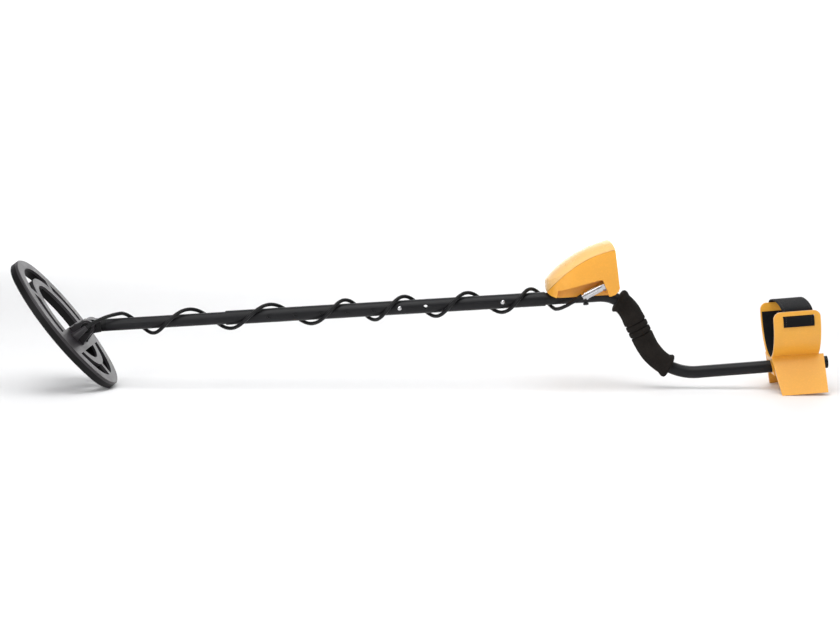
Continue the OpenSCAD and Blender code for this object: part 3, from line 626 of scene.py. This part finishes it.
def gripSpot(s):
    # point and direction of the tube's line, s mm from the foam's front end
    if s < arcFirst:
        angle = grip["firstFrom"] + math.degrees(s / grip["bendFirst"])
        centre = onStem(grip["corner"] - runFirst, 0, -grip["bendFirst"])
        return centre + turned(stemUp, angle) * grip["bendFirst"] * mm, turned(stemDir, angle)
    if s < arcFirst + straight:
        return firstCorner + gripDir * (runFirst + s - arcFirst) * mm, gripDir
    angle = math.degrees((foamLong - s) / grip["bendSecond"]) + grip["secondTo"]
    centre = onRear(runSecond, 0, grip["bendSecond"])
    return centre - turned(rearUp, angle) * grip["bendSecond"] * mm, turned(rearDir, angle)


grooveMiddle = arcFirst + grip["grooveFrom"]
profile = list(grip["front"])
ridge, half = grip["ridge"], grip["grooveHalf"]
bottom = ridge - grip["grooveDepth"]
for shift in (-1, 0, 1):
    at = grooveMiddle + shift * grip["groovePitch"]
    profile += [(at - half - 2.2, ridge), (at - half - 0.6, ridge - 0.5), (at - half, bottom),
        (at + half, bottom), (at + half + 0.6, ridge - 0.5), (at + half + 2.2, ridge)]
profile += [(foamLong - s, r) for s, r in grip["rear"]]
profile.sort()
fine = [profile[0]]
for (s0, r0), (s1, r1) in zip(profile, profile[1:]):
    parts = max(1, round((s1 - s0) / grip["ringStep"]))
    fine += [(s0 + (s1 - s0) * i / parts, r0 + (r1 - r0) * i / parts) for i in range(1, parts + 1)]
bore = [(foamLong * i / grip["boreRings"], grip["bore"]) for i in range(grip["boreRings"], -1, -1)]
rings = [*fine, *bore]
points, faces = [], []
sides = grip["sides"]
for s, r in rings:
    middle, way = gripSpot(min(max(s, 0), foamLong))
    up = way.cross(sideDir)
    for k in range(sides):
        angle = 2 * math.pi * k / sides
        points.append(middle + (sideDir * math.cos(angle) + up * math.sin(angle)) * r * mm)
for i in range(len(rings)):
    a, b = i * sides, (i + 1) % len(rings) * sides
    for k in range(sides):
        n = (k + 1) % sides
        faces.append((a + k, a + n, b + n, b + k))
handGrip = outward(newPiece("foamGrip", points, faces, "foam"))
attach(handGrip, "handle")
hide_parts("hand_grip")
print("foam grip ready")


# cuff pad, glued inside the cuff
cuff = {"front": 158.5, "long": 67, "radius": 59, "wall": 3, "floor": 11.25, "side": 16}
cuffMiddle = cuff["floor"] + cuff["radius"]
cuffTop = cuffMiddle + cuff["side"]
pad = {"thick": 4.0, "edge": 1.1, "inset": 2.0, "rise": 3.0, "clear": 0.05, "cellsRound": 96, "cellsLong": 26}


def padLine():
    # the wall's inner line from the near top edge, round the bottom, to the far one
    r = cuff["radius"] - cuff["wall"] - pad["clear"]
    line = [(Vector((-r, cuffMiddle + pad["rise"])), Vector((1, 0)))]
    for i in range(pad["cellsRound"] + 1):
        angle = math.pi * i / pad["cellsRound"]
        inward = Vector((math.cos(angle), math.sin(angle)))
        line.append((Vector((-r * math.cos(angle), cuffMiddle - r * math.sin(angle))), inward))
    line.append((Vector((r, cuffMiddle + pad["rise"])), Vector((-1, 0))))
    return line


wallLine = padLine()
xFrom, xTo = cuff["front"] + pad["inset"], cuff["front"] + cuff["long"] - pad["inset"]
points, faces = [], []
rows, columns = len(wallLine), pad["cellsLong"] + 1
for layer in (0, 1):
    for i, (at, inward) in enumerate(wallLine):
        for j in range(columns):
            u, v = i / (rows - 1) * 2 - 1, j / (columns - 1) * 2 - 1
            crown = (1 - abs(u) ** 30) * (1 - abs(v) ** 12)  # thins only near the edges
            thick = (pad["edge"] + (pad["thick"] - pad["edge"]) * crown) * layer
            spot = at + inward * thick
            points.append(onRear(xFrom + (xTo - xFrom) * j / (columns - 1), spot.x, spot.y))
grid = rows * columns
for i in range(rows - 1):
    for j in range(columns - 1):
        a, b, c, d = i * columns + j, i * columns + j + 1, (i + 1) * columns + j + 1, (i + 1) * columns + j
        faces += [(a, b, c, d), (a + grid, d + grid, c + grid, b + grid)]
rim = [j for j in range(columns)] + [i * columns + columns - 1 for i in range(1, rows)]
rim += [(rows - 1) * columns + j for j in range(columns - 2, -1, -1)]
rim += [i * columns for i in range(rows - 2, 0, -1)]
for a, b in zip(rim, rim[1:] + rim[:1]):
    faces.append((a, a + grid, b + grid, b))
cuffPad = outward(newPiece("cuffPad", points, faces, "pad"))
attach(cuffPad, "handle")
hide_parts("cuff_pad")
print("cuff pad ready")


# hook-and-loop strap, pulled tight over the top edges
strap = {
    "front": 172, "wide": 44, "thick": 1.5, "seamIn": 4, "stitchSpacing": 3.4 * mm, "thread": 0.32 * mm,
    # side, height above the cuff's top edge
    "line": [(-60.2, -22), (-60.3, -14), (-60.1, -9), (-57, -7.35), (-54.2, -6.6), (-52.6, -2), (-49, 1.4),
        (-42, 3.9), (-30, 6.2), (-15, 7.9), (0, 8.6), (15, 8.5), (30, 7.5), (42, 5.8), (51, 3.8),
        (56.5, 2.4), (59.4, 0.5), (60.1, -4), (60.1, -14)],
}
centre = smoothCurve([Vector((y, z + cuffTop, 0)) for y, z in strap["line"]], 6)
long = 0.0
stations = []
for i, p in enumerate(centre):
    way = (centre[min(i + 1, len(centre) - 1)] - centre[max(i - 1, 0)]).normalized()
    if i:
        long += (p - centre[i - 1]).length
    stations.append((p, Vector((-way.y, way.x, 0)), long))
half, thin = strap["wide"] / 2, strap["thick"] / 2
seam = half - strap["seamIn"]
# section with round edges and two sewn lines: place across, height
section = [(-half, 0), (-half + 0.25, 0.8), (-half + 1.2, 1), (-half + 3.2, 1), (-seam, 0.82), (-half + 5, 1),
    (0, 1.05), (half - 5, 1), (seam, 0.82), (half - 3.2, 1), (half - 1.2, 1), (half - 0.25, 0.8), (half, 0)]
loop = section + [(x, -h) for x, h in section[-2:0:-1]]
points, faces, coordinates = [], [], []
for p, side, s in stations:
    for x, h in loop:
        spot = p + side * h * thin
        points.append(onRear(strap["front"] + half + x, spot.x, spot.y))
        coordinates.append((s * mm, (x + half) * mm))
n = len(loop)
for i in range(len(stations) - 1):
    for k in range(n):
        m = (k + 1) % n
        faces.append((i * n + k, i * n + m, (i + 1) * n + m, (i + 1) * n + k))
faces += [tuple(range(n - 1, -1, -1)), tuple((len(stations) - 1) * n + k for k in range(n))]
cuffStrap = newPiece("cuffStrap", points, faces, "strap")
uvMap = cuffStrap.data.uv_layers.new(name="UVMap")
for corner in cuffStrap.data.loops:
    uvMap.data[corner.index].uv = coordinates[corner.vertex_index]
outward(cuffStrap)
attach(cuffStrap, "handle")
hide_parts("cuff_strap")

seamLines = []
for x in (-seam, seam):
    spots = [p + side * thin * 0.9 for p, side, s in stations[3:-3]]
    seamLines.append([onRear(strap["front"] + half + x, spot.x, spot.y) for spot in spots])
stitches = grown("strapStitches", seamLines, stitchTree("stitchesAlongPath", finishes["stitch"]),
    {"Spacing": strap["stitchSpacing"], "Thickness": strap["thread"]})
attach(stitches, "handle")
print("strap ready, %.0f mm long" % long)


# generic marks on the keys, and the display's segments
face = {
    "boxAt": 671, "x": 103.3, "z": 41, "leanBy": 3.4, "leanOver": 54, "keyZ": -15, "windowZ": 7,
    "keyY": {"key_power": -24, "key_mode": -8, "key_minus": 8, "key_plus": 24},
    "markDepth": 0.78, "readingDepth": -5.18, "print": 0.12,
}
faceTilt = math.degrees(math.atan(face["leanBy"] / face["leanOver"]))


def onFace(depth, y, z):
    # depth out of the rear face, side, height on it
    out, up = turned(stemDir, -faceTilt), turned(stemUp, -faceTilt)
    return onStem(face["boxAt"] + face["x"], 0, face["z"]) + (out * depth + sideDir * y + up * z) * mm


def flatBars(name, bars, depth, thick, finish):
    # each bar: four corners (y, z) on the face
    points, faces = [], []
    for bar in bars:
        start = len(points)
        count = len(bar)
        points += [onFace(depth, y, z) for y, z in bar] + [onFace(depth + thick, y, z) for y, z in bar]
        faces.append(tuple(start + i for i in range(count)))
        faces.append(tuple(start + count + i for i in range(count - 1, -1, -1)))
        for i in range(count):
            j = (i + 1) % count
            faces.append((start + i, start + count + i, start + count + j, start + j))
    return outward(newPiece(name, points, faces, finish, smooth=False))


def ringBars(y, z, radius, width, fromAngle, toAngle, steps):
    out = []
    for i in range(steps):
        a, b = (math.radians(fromAngle + (toAngle - fromAngle) * (i + d) / steps) for d in (0, 1))
        inner, outer = radius - width / 2, radius + width / 2
        corners = ((inner, a), (outer, a), (outer, b), (inner, b))
        out.append([(y + r * math.sin(t), z + r * math.cos(t)) for r, t in corners])
    return out


def bar(y0, z0, y1, z1):
    return [(y0, z0), (y1, z0), (y1, z1), (y0, z1)]


keyMarks = {
    "key_power": lambda y, z: ringBars(y, z, 1.9, 0.45, 40, 320, 14)
        + [bar(y - 0.25, z + 0.5, y + 0.25, z + 2.4)],
    "key_mode": lambda y, z: [bar(y - 2.2, z + d, y + 2.2, z + d + 0.5) for d in (-1.6, -0.25, 1.1)],
    "key_minus": lambda y, z: [bar(y - 2, z - 0.3, y + 2, z + 0.3)],
    "key_plus": lambda y, z: [bar(y - 2, z - 0.3, y + 2, z + 0.3), bar(y - 0.3, z + 0.3, y + 0.3, z + 2),
        bar(y - 0.3, z - 2, y + 0.3, z - 0.3)],
}
for key, marks in keyMarks.items():
    bars = marks(face["keyY"][key], face["keyZ"])
    made = flatBars(key + "Mark", bars, face["markDepth"], face["print"], "mark")
    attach(made, key)

digit = {"wide": 6.5, "high": 11.0, "pen": 1.1, "drop": 4.6, "lit": {-9: "afgcd", 1: "abcdef"}}
wide, high, pen = digit["wide"], digit["high"], digit["pen"]
middle, top = face["windowZ"] - digit["drop"] + high / 2, face["windowZ"] - digit["drop"] + high
segments = []
for y, lit in digit["lit"].items():  # a generic two-digit reading
    z, right = face["windowZ"] - digit["drop"], y + wide
    shapes = {
        "a": bar(y + 0.6, top - pen, right - 0.6, top), "d": bar(y + 0.6, z, right - 0.6, z + pen),
        "g": bar(y + 0.6, middle - pen / 2, right - 0.6, middle + pen / 2),
        "f": bar(y, middle + 0.3, y + pen, top - 0.5), "e": bar(y, z + 0.5, y + pen, middle - 0.3),
        "b": bar(right - pen, middle + 0.3, right, top - 0.5),
        "c": bar(right - pen, z + 0.5, right, middle - 0.3),
    }
    segments += [shapes[s] for s in lit]
for i in range(10):  # target scale along the bottom
    y = -21 + i * 4.4
    segments.append(bar(y, face["windowZ"] - 9.2, y + 3.2, face["windowZ"] - 7.2))
for i in range(4):  # battery level
    y = 14 + i * 1.7
    segments.append(bar(y, face["windowZ"] + 5.4, y + 1.1, face["windowZ"] + 8.0))
for i in range(4):  # sensitivity steps
    y = -21 + i * 1.9
    segments.append(bar(y, face["windowZ"] + 2.0, y + 1.3, face["windowZ"] + 3.4 + i * 1.1))
reading = flatBars("displaySegments", segments, face["readingDepth"], face["print"], "segment")
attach(reading, "handle")
print("face marks ready")


# floor that turns up into a backdrop
sweep = {"front": -9, "wide": 16, "bendFrom": 6.5, "bend": 2.5, "high": 9, "steps": 24}
profileLine = [(sweep["front"], 0), (sweep["bendFrom"], 0)]
for i in range(1, sweep["steps"] + 1):
    angle = math.pi / 2 * i / sweep["steps"]
    profileLine.append((sweep["bendFrom"] + sweep["bend"] * math.sin(angle),
        sweep["bend"] * (1 - math.cos(angle))))
profileLine.append((sweep["bendFrom"] + sweep["bend"], sweep["high"]))
points = [(x, y, z) for y, z in profileLine for x in (-sweep["wide"], sweep["wide"])]
faces = [(2 * i, 2 * i + 1, 2 * i + 3, 2 * i + 2) for i in range(len(profileLine) - 1)]
floor = newPiece("studioFloor", points, faces, "floor")
